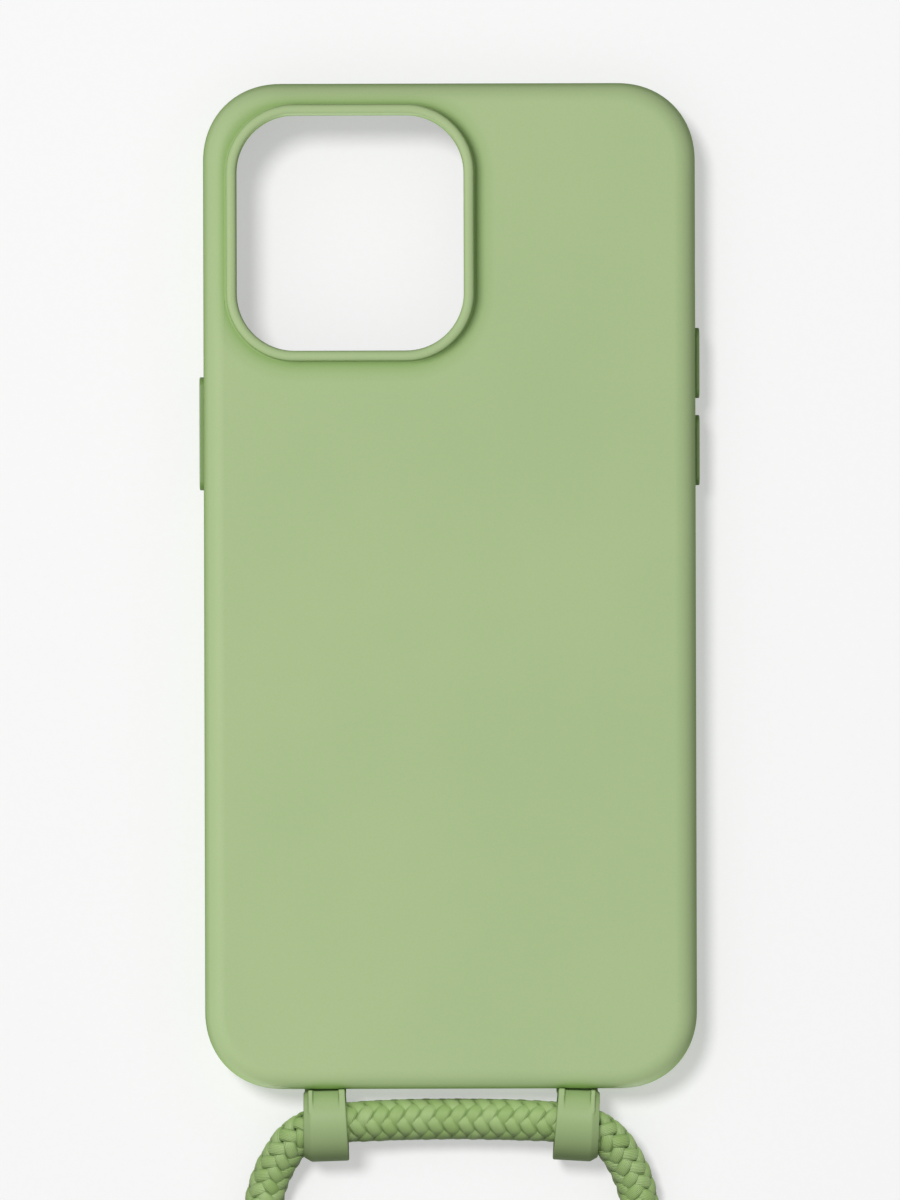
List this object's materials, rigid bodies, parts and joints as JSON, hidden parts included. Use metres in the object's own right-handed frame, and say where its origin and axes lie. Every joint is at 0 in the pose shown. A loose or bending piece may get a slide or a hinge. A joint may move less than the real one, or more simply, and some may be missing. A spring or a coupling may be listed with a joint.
{
  "type": "phone case",
  "caption": "Soft crossbody phone case with a camera window, three push buttons and two cord loops, on a braided cord that is wound into a tied coil.",
  "frame": {"origin": "bottom centre of the case with its buttons and loops, as it lies screen side down, without the cord", "axes": "+Y towards the camera end along the case, +Z out of the back of the case, +X to the side with the volume buttons"},
  "size_m": [0.088, 0.3513, 0.0234],
  "materials": {
    "silicone": "soft-touch matt silicone, sage green",
    "core_plastic": "moulded polycarbonate, fine matt grain",
    "microfibre": "short brushed microfibre nap",
    "button_plastic": "satin moulded plastic, darker green",
    "loop_silicone": "satin moulded elastomer, green",
    "braid": "eight-strand polyester braid, green",
    "strap_fabric": "woven hook-and-loop strap, green",
    "slider_plastic": "satin moulded plastic, green",
    "cap_plastic": "satin moulded plastic, green"
  },
  "bodies": {
    "case": {"silicone_shell": "silicone", "rigid_core": "core_plastic", "microfibre_lining": "microfibre", "left_cord_loop": "loop_silicone", "right_cord_loop": "loop_silicone", "cord_bridge": "braid", "cord_left_run": "braid", "cord_right_run": "braid", "cord_coil": "braid", "cord_tie": "strap_fabric", "left_end_cap": "cap_plastic", "right_end_cap": "cap_plastic"},
    "volume_up": {"volume_up_button": "button_plastic", "volume_up_plunger": "core_plastic"},
    "volume_down": {"volume_down_button": "button_plastic", "volume_down_plunger": "core_plastic"},
    "side_key": {"side_button": "button_plastic", "side_plunger": "core_plastic"},
    "slider": {"cord_slider": "slider_plastic"}
  },
  "joints": [
    {"name": "volume_up_press", "type": "slide", "parent": "case", "child": "volume_up", "axis": [-1, 0, 0], "range_m": [0, 0.0004], "stiffness_N_per_m": 4000},
    {"name": "volume_down_press", "type": "slide", "parent": "case", "child": "volume_down", "axis": [-1, 0, 0], "range_m": [0, 0.0004], "stiffness_N_per_m": 4000},
    {"name": "side_press", "type": "slide", "parent": "case", "child": "side_key", "axis": [1, 0, 0], "range_m": [0, 0.0004], "stiffness_N_per_m": 4000},
    {"name": "cord_slider_slide", "type": "slide", "parent": "case", "child": "slider", "axis": [0, 1, 0], "range_m": [-0.01, 0.01]}
  ]
}
